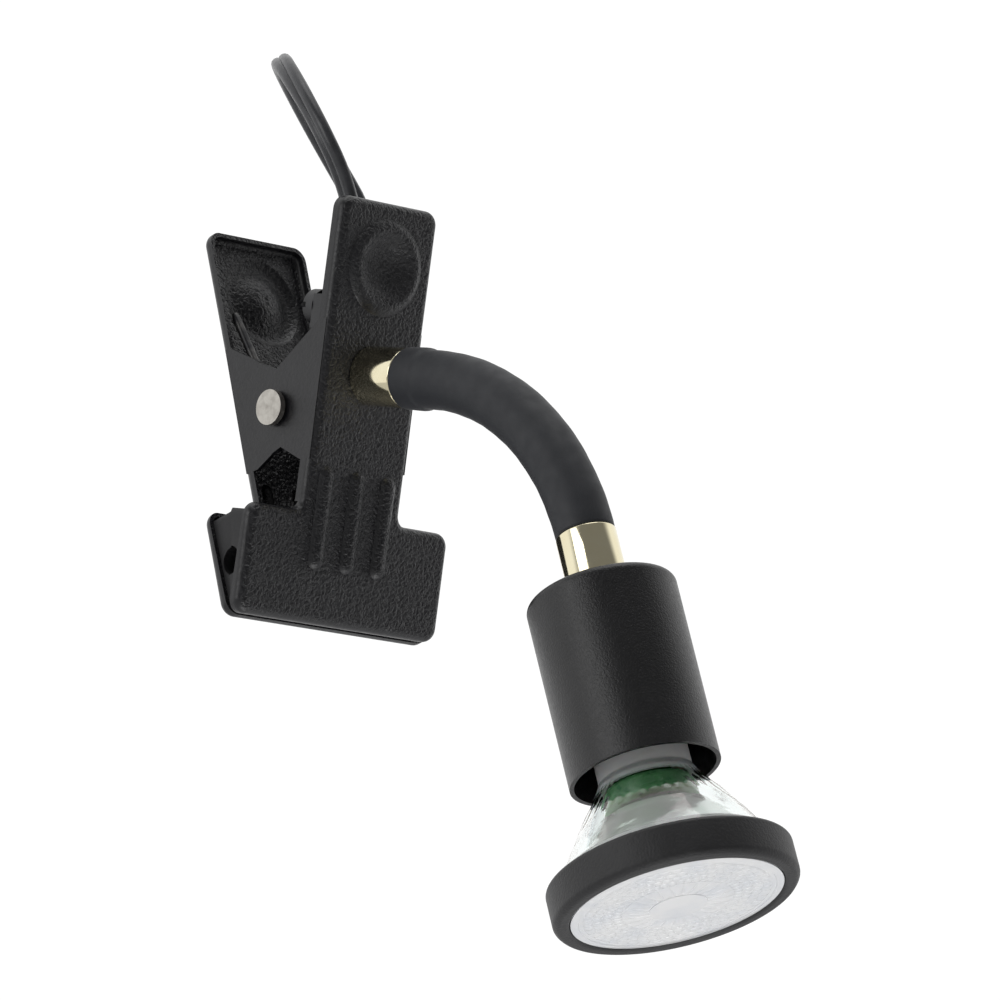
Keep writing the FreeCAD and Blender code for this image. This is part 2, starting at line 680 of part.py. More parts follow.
def cord_path(route):
    """Straight runs joined by tangent arcs, in one wire."""
    edges = []
    start = route[0]
    for before, corner, after in zip(route, route[1:], route[2:]):
        cut = 0.45 * min((corner - before).Length, (after - corner).Length)
        inward = (before - corner).normalize()
        onward = (after - corner).normalize()
        first = corner + inward * cut
        last = corner + onward * cut
        radius = arc_radius(before, corner, after)
        bisector = (inward + onward).normalize()
        centre = corner + bisector * math.hypot(radius, cut)
        edges.append(Part.makeLine(start, first))
        edges.append(Part.Arc(first, centre - bisector * radius, last).toShape())
        start = last
    edges.append(Part.makeLine(start, route[-1]))
    return Part.Wire(edges)


def cord_tube(name, route):
    path = cord_path(route)
    along = (route[1] - route[0]).normalize()
    circle = Part.Wire([Part.makeCircle(CORD / 2, route[0], along)])
    tube = path.makePipeShell([circle], True, False)
    radii = [arc_radius(*corner) for corner in zip(route, route[1:], route[2:])]
    expected = math.pi * (CORD / 2) ** 2 * path.Length
    print("%s radii %s length %.1f volume ratio %.4f" % (
        name, ["%.1f" % radius for radius in radii], path.Length, tube.Volume / expected))
    return tube


def arch_points():
    """Four corners about a half circle that rises from the handles and turns away."""
    lean = Vector(*ARCH_LEAN)
    away = Vector(*ARCH_AWAY)
    foot = Vector(RISE_ACROSS, RISE_AWAY, RISE_Z)
    centre = foot + away * ARCH_RADIUS
    reach = ARCH_RADIUS / math.cos(math.radians(22.5))
    points = []
    for turn in (22.5, 67.5, 112.5, 157.5):
        angle = math.radians(turn)
        spot = centre + lean * (reach * math.sin(angle)) - away * (reach * math.cos(angle))
        points.append(swung(spot.x, spot.y, spot.z))
    return points


def hank_top():
    return HANK_Z + HANK_HEIGHT / 2


def lead_route():
    tip = swung(*BOOT_TIP)
    onward = (tip - swung(*BOOT_FOOT)).normalize() * 11.0
    route = [tip, tip + onward] + arch_points()
    return route + [swung(12.0, 44.2, 99.0), swung(5.0, 43.4, hank_top() - 10.0)]


def tail_route():
    """Out of the hank, over and down into the plug."""
    half = 0.5 * (PLUG_AWAY - TAIL_AWAY)
    shoulder = hank_top() + 0.577 * half
    return [swung(5.0, TAIL_AWAY, hank_top() - 10.5), swung(TAIL_ACROSS, TAIL_AWAY, shoulder),
            swung(6.5, TAIL_AWAY + half, hank_top() + 1.155 * half),
            swung(PLUG_ACROSS, PLUG_AWAY, shoulder),
            swung(PLUG_ACROSS, PLUG_AWAY, plug_top())]


def plug_top():
    return hank_top() - 7.0


def cord_hank():
    """Outer shape of the wound lead: an upright oval ring."""
    straight = HANK_HEIGHT - 2 * HANK_RADIUS
    hank = oval(HANK_RADIUS, straight, HANK_THICK).cut(oval(HANK_RADIUS - 9.8, straight, 40))
    return swing_shape(hank)


def oval(radius, straight, thick):
    low = HANK_Z - straight / 2
    high = HANK_Z + straight / 2
    body = block(-thick / 2, thick / 2, HANK_AWAY - radius, HANK_AWAY + radius, low, high)
    for z in (low, high):
        end = Part.makeCylinder(radius, thick, Vector(-thick / 2, HANK_AWAY, z), X_AXIS)
        body = body.fuse(end)
    return body.removeSplitter()


def hank_tie():
    """Strap round the middle of the hank."""
    half = HANK_THICK / 2
    y0 = HANK_AWAY - HANK_RADIUS
    y1 = HANK_AWAY + HANK_RADIUS
    outer = block(-half - 1.4, half + 1.4, y0 - 1.4, y1 + 1.4, HANK_Z - 5, HANK_Z + 5)
    outer = soften(outer, 1.2, lambda edge, middle: abs(edge.BoundBox.ZLength - 10) < 0.01)
    inner = block(-half, half, y0, y1, HANK_Z - 6, HANK_Z + 6)
    return swing_shape(outer.cut(inner))


def plug_body():
    """Two-blade plug hanging blades down, with a tapered relief on its top."""
    top = plug_top()
    relief = Part.makeCone(3.2, 4.2, 14.0, Vector(PLUG_ACROSS, PLUG_AWAY, top), Vector(0, 0, -1))
    body = block(PLUG_ACROSS - 12.5, PLUG_ACROSS + 12.5, PLUG_AWAY - 5.5, PLUG_AWAY + 5.5,
                 top - 42, top - 14)
    body = soften(body, 3.0, lambda edge, middle: edge.BoundBox.ZLength > 20)
    body = soften(body, 2.0, lambda edge, middle: middle.z > top - 14.1)
    return swing_shape(body.fuse(relief).removeSplitter())


def plug_blades():
    top = plug_top() - 42.0
    blades = []
    for side in (-1, 1):
        x = PLUG_ACROSS + side * 6.35
        blade = block(x - 0.75, x + 0.75, PLUG_AWAY - 3.15, PLUG_AWAY + 3.15, top - 16, top)
        blade = blade.cut(Part.makeCylinder(1.6, 6, Vector(x - 3, PLUG_AWAY, top - 11.5), X_AXIS))
        blades.append(swing_shape(blade))
    return Part.makeCompound(blades)


def build():
    nodes = {
        "front_plate": front_plate(),
        "rear_plate": rear_plate(),
        "front_pad": pad(on_front, 23.0),
        "rear_pad": pad(on_rear, 22.4),
        "pivot_pin": pivot_pin(),
        "pin_clip": pin_clip(),
        "clamp_spring": clamp_spring(),
        "cord_grip": cord_grip(),
        "grip_bar": grip_bar(),
        "grip_screw": grip_screw(),
        "cord_boot": boot_cone(),
        "head_shell": head_shell(),
        "holder_bracket": holder_bracket(),
        "lamp_holder": lamp_holder(),
        "holder_contacts": holder_contacts(),
        "holder_screws": holder_screws(),
        "bulb_base": bulb_base(),
        "bulb_pins": bulb_pins(),
        "bulb_reflector": bulb_reflector(),
        "bulb_ring": bulb_ring(),
        "bulb_lens": bulb_lens(),
        "led_board": led_board(),
        "driver_board": driver_board(),
        "cord_lead": cord_tube("cord_lead", lead_route()),
        "cord_tail": cord_tube("cord_tail", tail_route()),
        "cord_hank": cord_hank(),
        "hank_tie": hank_tie(),
        "plug_body": plug_body(),
        "plug_blades": plug_blades(),
    }
    nodes.update(base_fittings())
    nodes.update(head_fittings())
    nodes.update(neck_nodes())
    os.makedirs("parts", exist_ok=True)
    for name in sorted(nodes):
        shape = nodes[name]
        shape.exportStep("parts/%s.step" % name)
        box = shape.BoundBox
        print("%-16s solids %d valid %s vol %.1f box %.1f %.1f %.1f / %.1f %.1f %.1f" % (
            name, len(shape.Solids), shape.isValid(), shape.Volume, box.XMin, box.YMin, box.ZMin,
            box.XMax, box.YMax, box.ZMax))


build()
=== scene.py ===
import json
import math

import bmesh
import bpy
from mathutils import Matrix, Vector


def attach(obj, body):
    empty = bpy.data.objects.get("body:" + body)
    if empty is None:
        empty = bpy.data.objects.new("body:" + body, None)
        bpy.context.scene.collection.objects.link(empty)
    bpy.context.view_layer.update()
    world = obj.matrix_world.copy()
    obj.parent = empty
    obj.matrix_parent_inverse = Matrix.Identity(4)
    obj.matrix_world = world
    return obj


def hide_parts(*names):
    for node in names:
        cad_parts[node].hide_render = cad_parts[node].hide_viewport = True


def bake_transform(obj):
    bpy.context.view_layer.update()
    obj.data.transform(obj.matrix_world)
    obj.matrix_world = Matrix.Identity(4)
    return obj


# Looks of the clip-on reading lamp, in metres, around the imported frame.
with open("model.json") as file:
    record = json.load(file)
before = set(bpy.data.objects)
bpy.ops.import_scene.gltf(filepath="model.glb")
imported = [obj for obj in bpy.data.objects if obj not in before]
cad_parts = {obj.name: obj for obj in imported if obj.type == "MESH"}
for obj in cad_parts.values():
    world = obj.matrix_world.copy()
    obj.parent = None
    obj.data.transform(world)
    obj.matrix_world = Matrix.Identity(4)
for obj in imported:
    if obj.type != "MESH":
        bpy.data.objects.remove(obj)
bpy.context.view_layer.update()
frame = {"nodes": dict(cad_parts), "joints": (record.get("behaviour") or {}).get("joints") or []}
scene = bpy.context.scene
nodes = frame["nodes"]
joints = {joint["name"]: joint for joint in frame["joints"]}
MM = 0.001

# Clamp
PLATE_TILT = 12.3           # front plate against the clamp's middle plane, degrees
MOUTH_HALF = 3.64 * MM
PIVOT = Vector(joints["jaw_pivot"]["pos_m"])
COIL_RADIUS = 4.1 * MM
WIRE_RADIUS = 1.0 * MM
COIL_HALF = 9.5 * MM        # wire's middle at each end of the coil
LEG_LENGTH = 31.0 * MM
COIL_TURNS = 9
WIRE_STEPS = 24             # along each leg, and round each turn of the coil
REAR_LEG = 28.2             # leg angles from upright, degrees
FRONT_LEG = 27.2

# Arm
ARM_HEIGHT = 56.6 * MM
FERRULE_RADIUS = 6.7 * MM
FERRULE_LENGTH = 12.5 * MM
COLLAR_RADIUS = 7.0 * MM
COLLAR_END = 19.0 * MM
SLEEVE_RADIUS = 6.6 * MM
SLEEVE_BORE = 4.6 * MM
NECK_STRAIGHT = 21.0 * MM
NECK_RADIUS = 60.8 * MM
NECK_BEND = math.radians(61.2)
FIRST_JOINT = 23.0 * MM
LINK_LENGTH = 10.0 * MM
LINKS = 6
HEAD_FERRULE = 14.0 * MM

# Lamp, measured down the head's axis from the top of its shell
RING_TOP = 64.6             # millimetres, like the lamp's other outlines
RING_BOTTOM = 73.6

# Cord
CORD_WIDTH = 4.8 * MM
LOBE_RADIUS = 1.5 * MM      # two cores side by side make the flat lead
CORD_SWING = math.radians(43.489)
HANK_AWAY = 60.0            # millimetres, as all the lead's points below
HANK_Z = 51.0
HANK_HALF = 14.0            # half of a turn's straight runs
HANK_TURNS = ((20.4, 4.9), (20.4, 0.0), (20.4, -4.9), (17.2, -4.9), (17.2, 0.0), (17.2, 4.9),
              (14.0, -4.9), (14.0, 0.0), (14.0, 4.9))       # radius and place across of each turn


# ---------------------------------------------------------------- camera and studio

CAMERA_AZIMUTH = math.radians(-43.489)
CAMERA_ELEVATION = math.radians(-10.846)
CAMERA_ROLL = math.radians(-0.994)
CAMERA_DISTANCE = 1.8969
CAMERA_LENS = 307.3         # millimetres, as the sensor
CAMERA_SENSOR = 36
CAMERA_REACH = 20
AIM_RIGHT = 0.02026         # slope of the view's middle from the clamp's origin
AIM_UP = 0.01533
SKY_LEFTWARD = 0.25         # how far the bright side turns left from straight behind the lamp
SKY_EDGE = 0.22             # half of the width over which it fades
SKY_DIM = 0.20
SKY_BRIGHT = 1.05


def camera_axes():
    """Right, up and back of a camera that looks at the origin."""
    a, e = CAMERA_AZIMUTH, CAMERA_ELEVATION
    back = Vector((math.sin(a) * math.cos(e), -math.cos(a) * math.cos(e), math.sin(e)))
    right = Vector((math.cos(a), math.sin(a), 0))
    up = back.cross(right)
    turned_right = right * math.cos(CAMERA_ROLL) + up * math.sin(CAMERA_ROLL)
    return turned_right, back.cross(turned_right), back


def make_camera():
    right, up, back = camera_axes()
    place = back * CAMERA_DISTANCE
    back = (back - right * AIM_RIGHT - up * AIM_UP).normalized()
    right = (right - back * right.dot(back)).normalized()
    up = back.cross(right)
    data = bpy.data.cameras.new("camera")
    data.lens = CAMERA_LENS
    data.sensor_width = CAMERA_SENSOR
    data.clip_end = CAMERA_REACH
    camera = bpy.data.objects.new("camera", data)
    camera.matrix_world = Matrix((
        (right.x, up.x, back.x, place.x),
        (right.y, up.y, back.y, place.y),
        (right.z, up.z, back.z, place.z),
        (0, 0, 0, 1)))
    scene.collection.objects.link(camera)
    scene.camera = camera


def softbox(name, side, rise, toward, size, power):
    """A square light that faces the lamp, placed in metres right, up and toward the camera."""
    right, up, back = camera_axes()
    data = bpy.data.lights.new(name, "AREA")
    data.size = size
    data.energy = power
    light = bpy.data.objects.new(name, data)
    light.location = right * side + up * rise + back * toward
    light.rotation_mode = "QUATERNION"
    light.rotation_quaternion = light.location.to_track_quat("Z", "Y")
    scene.collection.objects.link(light)


def make_world():
    """White behind and left of the lamp, dim on the camera's side and to its right."""
    right, _, back = camera_axes()
    world = bpy.data.worlds.new("studio")
    scene.world = world
    world.use_nodes = True
    tree = world.node_tree
    sky = tree.nodes["Background"]
    place = tree.nodes.new("ShaderNodeTexCoord")
    facing = tree.nodes.new("ShaderNodeVectorMath")
    facing.operation = "DOT_PRODUCT"
    facing.inputs[1].default_value = -back - right * SKY_LEFTWARD
    level = tree.nodes.new("ShaderNodeMapRange")
    level.interpolation_type = "SMOOTHSTEP"
    level.inputs["From Min"].default_value = -SKY_EDGE
    level.inputs["From Max"].default_value = SKY_EDGE
    level.inputs["To Min"].default_value = SKY_DIM
    level.inputs["To Max"].default_value = SKY_BRIGHT
    tree.links.new(place.outputs["Generated"], facing.inputs[0])
    tree.links.new(facing.outputs["Value"], level.inputs["Value"])
    tree.links.new(level.outputs["Result"], sky.inputs["Strength"])
    sky.inputs["Color"].default_value = (1.0, 1.0, 1.0, 1.0)


def make_floor():
    mesh = bpy.data.meshes.new("floor")
    half, low = 9.0, -2.4
    mesh.from_pydata([(-half, -half, low), (half, -half, low), (half, half, low), (-half, half, low)],
                     [], [(0, 1, 2, 3)])
    floor = bpy.data.objects.new("floor", mesh)
    scene.collection.objects.link(floor)
    look = bpy.data.materials.new("floor_paper")
    look.use_nodes = True
    shader = look.node_tree.nodes["Principled BSDF"]
    shader.inputs["Base Color"].default_value = (0.86, 0.86, 0.86, 1)
    shader.inputs["Roughness"].default_value = 0.9
    mesh.materials.append(look)


# ---------------------------------------------------------------- materials

class Look:
    """A Principled material with short helpers for its procedural nodes."""

    def __init__(self, name, colour, roughness, **sockets):
        self.made = bpy.data.materials.new(name)
        self.made.use_nodes = True
        self.tree = self.made.node_tree
        self.shader = self.tree.nodes["Principled BSDF"]
        self.coords = self.node("TexCoord")
        self.colour = colour
        self.set("Base Color", (*colour, 1))
        self.set("Roughness", roughness)
        self.roughness = roughness
        for socket, value in sockets.items():
            self.set(socket.replace("_", " "), value)

    def node(self, kind, **values):
        made = self.tree.nodes.new("ShaderNode" + kind)
        for key, value in values.items():
            if hasattr(made, key):
                setattr(made, key, value)
            else:
                made.inputs[key.replace("_", " ")].default_value = value
        return made

    def set(self, socket, value):
        self.shader.inputs[socket].default_value = value

    def link(self, source, target):
        self.tree.links.new(source, target)

    def noise(self, scale, detail=3.0, roughness=0.5, distortion=0.0, stretch=(1, 1, 1)):
        """Noise in object space; scale is features per metre."""
        mapping = self.node("Mapping")
        mapping.inputs["Scale"].default_value = stretch
        made = self.node("TexNoise", Scale=scale, Detail=detail, Roughness=roughness,
                         Distortion=distortion)
        self.link(self.coords.outputs["Object"], mapping.inputs["Vector"])
        self.link(mapping.outputs["Vector"], made.inputs["Vector"])
        return made.outputs["Fac"]

    def ramp(self, source, low, high, to_low=0.0, to_high=1.0):
        made = self.node("MapRange", From_Min=low, From_Max=high, To_Min=to_low, To_Max=to_high)
        self.link(source, made.inputs["Value"])
        return made.outputs["Result"]

    def tint(self, source, other):
        """Mix the base colour towards another by a factor."""
        made = self.node("Mix", data_type="RGBA")
        inputs = [one for one in made.inputs if one.type == "RGBA"]
        inputs[0].default_value = (*self.colour, 1)
        inputs[1].default_value = (*other, 1)
        self.link(source, made.inputs["Factor"])
        output = [one for one in made.outputs if one.type == "RGBA"][0]
        self.link(output, self.shader.inputs["Base Color"])
        return self

    def rough(self, source, spread):
        result = self.ramp(source, 0.3, 0.7, self.roughness - spread, self.roughness + spread)
        self.link(result, self.shader.inputs["Roughness"])
        return self

    def bump(self, source, depth, strength=None, before=None):
        """Raise the surface by a height field; depth is in metres."""
        made = self.node("Bump", Distance=depth, Strength=1.0)
        self.link(source, made.inputs["Height"])
        if strength is not None:
            self.link(strength, made.inputs["Strength"])
        if before is not None:
            self.link(before, made.inputs["Normal"])
        self.link(made.outputs["Normal"], self.shader.inputs["Normal"])
        return made.outputs["Normal"]


def powder_black():
    """Leather-grain powder coat: pebbled on the plates' faces, smoother on their folds."""
    look = Look("powder_black", (0.0062, 0.0062, 0.0080), 0.36)
    split = look.node("SeparateXYZ")
    look.link(look.coords.outputs["Normal"], split.inputs["Vector"])
    size = look.node("Math", operation="ABSOLUTE")
    look.link(split.outputs["Y"], size.inputs[0])
    face = look.ramp(size.outputs[0], 0.55, 0.93, 0.12, 1.0)
    grain = look.noise(1250, 1.5, 0.5, 0.6)
    fine = look.noise(4200, 2.0, 0.5)
    first = look.bump(grain, 0.00050, face)
    look.bump(fine, 0.000012, None, first)
    look.rough(grain, 0.07)
    wear = look.ramp(look.noise(180, 4.0, 0.6), 0.45, 0.75)
    return look.tint(wear, (0.0095, 0.0095, 0.0115)).made


def satin_black():
    """Satin spray paint with a fine sandy texture."""
    look = Look("satin_black", (0.0050, 0.0050, 0.0058), 0.36)
    grain = look.noise(2300, 2.0, 0.55, 0.4)
    look.bump(grain, 0.00011)
    look.rough(look.noise(900, 3.0), 0.04)
    return look.tint(look.ramp(look.noise(120, 3.0), 0.4, 0.8), (0.0085, 0.0085, 0.0095)).made


def pale_brass():
    look = Look("pale_brass", (0.83, 0.77, 0.56), 0.10, Metallic=1.0)
    drawn = look.noise(900, 3.0, 0.6, 0.0, (1, 0.08, 0.08))
    look.bump(drawn, 0.0000012)
    look.rough(look.noise(260, 4.0, 0.6), 0.035)
    return look.tint(look.ramp(look.noise(90, 4.0), 0.4, 0.75), (0.77, 0.69, 0.46)).made


def nickel():
    """Nickel plate gone slightly dull, with fine scratches."""
    look = Look("nickel", (0.50, 0.48, 0.44), 0.36, Metallic=1.0)
    scratch = look.noise(1500, 4.0, 0.7, 0.0, (1, 0.12, 1))
    look.bump(scratch, 0.000006)
    look.rough(look.noise(500, 4.0, 0.7), 0.09)
    return look.tint(look.ramp(look.noise(420, 4.0, 0.65), 0.42, 0.68), (0.36, 0.34, 0.31)).made


def black_wire():
    look = Look("black_wire", (0.03, 0.03, 0.032), 0.30, Metallic=0.75)
    look.bump(look.noise(2600, 3.0), 0.000006)
    return look.tint(look.ramp(look.noise(300, 4.0), 0.45, 0.7), (0.09, 0.088, 0.085)).made


def zinc_steel():
    look = Look("zinc_steel", (0.55, 0.56, 0.58), 0.32, Metallic=1.0)
    look.rough(look.noise(700, 4.0), 0.08)
    return look.tint(look.ramp(look.noise(240, 4.0), 0.4, 0.7), (0.47, 0.46, 0.40)).made


def black_sleeve():
    """Soft matte tube with a very fine grain and a light dusting."""
    look = Look("black_sleeve", (0.0120, 0.0135, 0.0175), 0.60, Sheen_Weight=0.06,
                Sheen_Roughness=0.4)
    look.bump(look.noise(3200, 3.0, 0.55), 0.000014)
    look.rough(look.noise(350, 3.0), 0.05)
    return look.tint(look.ramp(look.noise(160, 4.0), 0.42, 0.72), (0.0145, 0.0160, 0.0205)).made


def pad_rubber():
    look = Look("pad_rubber", (0.011, 0.011, 0.0125), 0.62)
    look.bump(look.noise(1800, 3.0), 0.00003)
    return look.tint(look.ramp(look.noise(260, 4.0), 0.4, 0.7), (0.016, 0.016, 0.0175)).made


def moulded_black(name="moulded_black", colour=(0.017, 0.017, 0.019)):
    look = Look(name, colour, 0.47)
    look.bump(look.noise(2400, 3.0), 0.000025)
    lighter = tuple(1.5 * part for part in colour)
    return look.tint(look.ramp(look.noise(220, 4.0), 0.4, 0.75), lighter).made


def cord_vinyl():
    look = Look("cord_vinyl", (0.030, 0.031, 0.035), 0.34)
    look.bump(look.noise(1200, 3.0), 0.000018)
    look.rough(look.noise(500, 3.0), 0.05)
    return look.tint(look.ramp(look.noise(240, 4.0), 0.4, 0.72), (0.042, 0.043, 0.048)).made


def woven_tie():
    """Hook-and-loop strap: fine level ribs of thread."""
    look = Look("woven_tie", (0.02, 0.02, 0.022), 0.85, Sheen_Weight=0.4)
    wave = look.node("TexWave", bands_direction="Z", Scale=420.0, Distortion=0.6)
    look.link(look.coords.outputs["Object"], wave.inputs["Vector"])
    look.bump(wave.outputs["Fac"], 0.00008)
    return look.tint(look.noise(1400, 3.0), (0.034, 0.034, 0.037)).made


def bright_brass():
    look = Look("bright_brass", (0.80, 0.66, 0.36), 0.22, Metallic=1.0)
    look.rough(look.noise(800, 4.0), 0.07)
    return look.tint(look.ramp(look.noise(300, 4.0), 0.42, 0.7), (0.63, 0.50, 0.26)).made


def ceramic():
    look = Look("ceramic", (0.80, 0.78, 0.72), 0.28)
    look.bump(look.noise(700, 3.0), 0.00002)
    return look.tint(look.ramp(look.noise(400, 5.0, 0.7), 0.5, 0.7), (0.70, 0.67, 0.60)).made


def white_plastic():
    look = Look("white_plastic", (0.80, 0.80, 0.79), 0.30, Subsurface_Weight=0.1,
                Subsurface_Scale=0.002)
    look.bump(look.noise(1100, 2.0), 0.000008)
    return look.tint(look.ramp(look.noise(140, 3.0), 0.4, 0.7), (0.74, 0.745, 0.75)).made


def lamp_glass():
    """Clear pressed glass; faint tint and flow marks."""
    look = Look("lamp_glass", (0.97, 0.99, 0.985), 0.03, IOR=1.47, Transmission_Weight=1.0,
                Thin_Film_Thickness=330.0, Thin_Film_IOR=1.4)
    look.bump(look.noise(260, 2.0), 0.00006)
    return look.tint(look.ramp(look.noise(110, 2.0), 0.4, 0.7), (0.93, 0.975, 0.955)).made


def silvered_cup():
    """Bright inner cup with the pale green of a thin coating."""
    look = Look("silvered_cup", (0.90, 0.92, 0.90), 0.14, Metallic=0.55)
    look.bump(look.noise(240, 2.0), 0.00008)
    return look.tint(look.ramp(look.noise(75, 2.0, 0.5, 1.2), 0.42, 0.62), (0.80, 0.88, 0.80)).made


def lens_clear():
    """Prismatic cover: bright, clear and slightly milky."""
    look = Look("lens_clear", (0.985, 0.988, 0.995), 0.12, IOR=1.49, Transmission_Weight=0.22,
                Coat_Weight=0.4, Coat_Roughness=0.05)
    look.bump(look.noise(900, 2.0), 0.00001)
    return look.tint(look.ramp(look.noise(130, 3.0), 0.4, 0.7), (0.86, 0.885, 0.93)).made


def ring_black():
    look = Look("ring_black", (0.012, 0.012, 0.0132), 0.52)
    look.bump(look.noise(1900, 2.0, 0.55, 0.3), 0.00014)
    return look.tint(look.ramp(look.noise(150, 3.0), 0.4, 0.75), (0.017, 0.017, 0.0185)).made


def board_green():
    look = Look("board_green", (0.035, 0.19, 0.06), 0.25)
    cells = look.node("TexVoronoi", Scale=520.0, distance="MANHATTAN")
    look.link(look.coords.outputs["Object"], cells.inputs["Vector"])
    look.bump(cells.outputs["Distance"], 0.00003)
    return look.tint(look.ramp(cells.outputs["Distance"], 0.25, 0.45), (0.10, 0.30, 0.12)).made


def board_white():
    """White coated carrier of the light source."""
    look = Look("board_white", (0.86, 0.87, 0.86), 0.45)
    look.bump(look.noise(1600, 3.0), 0.00001)
    return look.tint(look.ramp(look.noise(380, 3.0), 0.45, 0.7), (0.78, 0.80, 0.79)).made


def phosphor():
    look = Look("phosphor", (0.93, 0.86, 0.62), 0.6)
    look.bump(look.noise(2500, 3.0), 0.00002)
    return look.tint(look.ramp(look.noise(900, 3.0), 0.4, 0.7), (0.95, 0.90, 0.72)).made


# ---------------------------------------------------------------- mesh helpers

def mesh_piece(name, points, faces, look, body=None, sharp=35):
    mesh = bpy.data.meshes.new(name)
    mesh.from_pydata([tuple(point) for point in points], [], faces)
    mesh.validate()
    mesh.shade_smooth()
    mesh.set_sharp_from_angle(angle=math.radians(sharp))
    mesh.materials.append(look)
    piece = bpy.data.objects.new(name, mesh)
    scene.collection.objects.link(piece)
    if body:
        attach(piece, body)
    return piece


def ring_faces(rings, around):
    """Quads between rings of points, each ring closed on itself."""
    faces = []
    for i in range(rings - 1):
        for j in range(around):
            a, b = i * around + j, i * around + (j + 1) % around
            c, d = (i + 1) * around + (j + 1) % around, (i + 1) * around + j
            faces.append((a, b, c, d))
    return faces


def end_caps(rings, around):
    """The two faces that close a row of rings."""
    first = tuple(range(around))[::-1]
    last = tuple((rings - 1) * around + j for j in range(around))
    return [first, last]


def in_metres(outline):
    return [(r * MM, z * MM) for r, z in outline]


def soft_outline(corners, radius, steps=4):
    """A closed (r, z) outline with its corners rounded by short curves."""
    result = []
    count = len(corners)
    for i, corner in enumerate(corners):
        here = Vector(corner)
        before, after = Vector(corners[i - 1]), Vector(corners[(i + 1) % count])
        if here.x < 1e-9:
            result.append(here)
            continue
        cut = min(radius, 0.45 * (before - here).length, 0.45 * (after - here).length)
        first = here + (before - here).normalized() * cut
        last = here + (after - here).normalized() * cut
        for step in range(steps + 1):
            t = step / steps
            result.append(first * (1 - t) ** 2 + here * (2 * t * (1 - t)) + last * t ** 2)
    return result


def turned(name, outline, place, look, body, around=96, flute=None):
    """A closed outline turned about the local Z axis and put in place by a matrix."""
    points = []
    for j in range(around):
        angle = 2 * math.pi * j / around
        for one in outline:
            radius = one[0] + (flute(one, angle) if flute else 0.0)
            points.append(place @ Vector((radius * math.cos(angle), radius * math.sin(angle), one[1])))
    count = len(outline)
    faces = []
    for j in range(around):
        for i in range(count):
            k = (i + 1) % count
            if outline[i][0] < 1e-9 and outline[k][0] < 1e-9:
                continue
            n = (j + 1) % around
            faces.append((j * count + i, n * count + i, n * count + k, j * count + k))
    piece = mesh_piece(name, points, faces, look)
    weld(piece)
    if body:
        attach(piece, body)
    return piece


def weld(piece):
    work = bmesh.new()
    work.from_mesh(piece.data)
    bmesh.ops.remove_doubles(work, verts=work.verts, dist=1e-6)
    bmesh.ops.recalc_face_normals(work, faces=work.faces)
    work.to_mesh(piece.data)
    work.free()
    piece.data.shade_smooth()
    piece.data.set_sharp_from_angle(angle=math.radians(35))


def frame_along(origin, along):
    """A matrix whose Z axis runs along a direction in the YZ plane and whose X stays X."""
    along = along.normalized()
    across = Vector((1, 0, 0))
    if abs(along.x) > 1e-6:
        across = (across - along * along.x).normalized()
    side = along.cross(across)
    turn = Matrix((across, side, along)).transposed().to_4x4()
    return Matrix.Translation(origin) @ turn


def neck_frame(s):
    """Point and direction on the arm's middle line, s from the front plate."""
    tilt = math.radians(PLATE_TILT)
    base = Vector((0, -MOUTH_HALF - ARM_HEIGHT * math.sin(tilt), ARM_HEIGHT * math.cos(tilt)))
    out = Vector((0, -math.cos(tilt), -math.sin(tilt)))
    down = Vector((0, math.sin(tilt), -math.cos(tilt)))
    turn = min(max((s - NECK_STRAIGHT) / NECK_RADIUS, 0.0), NECK_BEND)
    rest = s - turn * NECK_RADIUS
    point = base + out * (min(s, NECK_STRAIGHT) + NECK_RADIUS * math.sin(turn))
    point = point + down * (NECK_RADIUS * (1 - math.cos(turn)))
    along = out * math.cos(turn) + down * math.sin(turn)
    return point + along * max(rest - NECK_STRAIGHT, 0.0), along


NECK_END = NECK_STRAIGHT + NECK_RADIUS * NECK_BEND
HEAD = frame_along(*neck_frame(NECK_END + HEAD_FERRULE))


def dress(look, *names):
    for name in names:
        nodes[name].data.materials.clear()
        nodes[name].data.materials.append(look)


# ---------------------------------------------------------------- cord

def swung(across, away, z):
    """A point in millimetres beside the clamp, across and away from the camera's side."""
    x = across * math.cos(CORD_SWING) + away * math.sin(CORD_SWING)
    y = -across * math.sin(CORD_SWING) + away * math.cos(CORD_SWING)
    return Vector((x, y, z)) * MM


BOOT_FOOT = swung(10.9, -7.0, 66.5)
BOOT_TIP = swung(8.4, -9.4, 86.4)
ARCH_FOOT = Vector((5.1, -11.6, 103.8))
ARCH_RADIUS = 28.2
ARCH_LEAN = Vector((-0.471, -0.166, 0.867))
ARCH_AWAY = Vector((0.0, 0.982, 0.188))
PLUG_ACROSS = 2.5
TAIL_ACROSS = 7.0
PLUG_AWAY = 90.0
PLUG_TOP = 80.0


def arch_points():
    centre = ARCH_FOOT + ARCH_AWAY * ARCH_RADIUS
    reach = ARCH_RADIUS / math.cos(math.radians(22.5))
    points = []
    for turn in (22.5, 67.5, 112.5, 157.5):
        angle = math.radians(turn)
        spot = centre + ARCH_LEAN * (reach * math.sin(angle)) - ARCH_AWAY * (reach * math.cos(angle))
        points.append(swung(*spot))
    return points


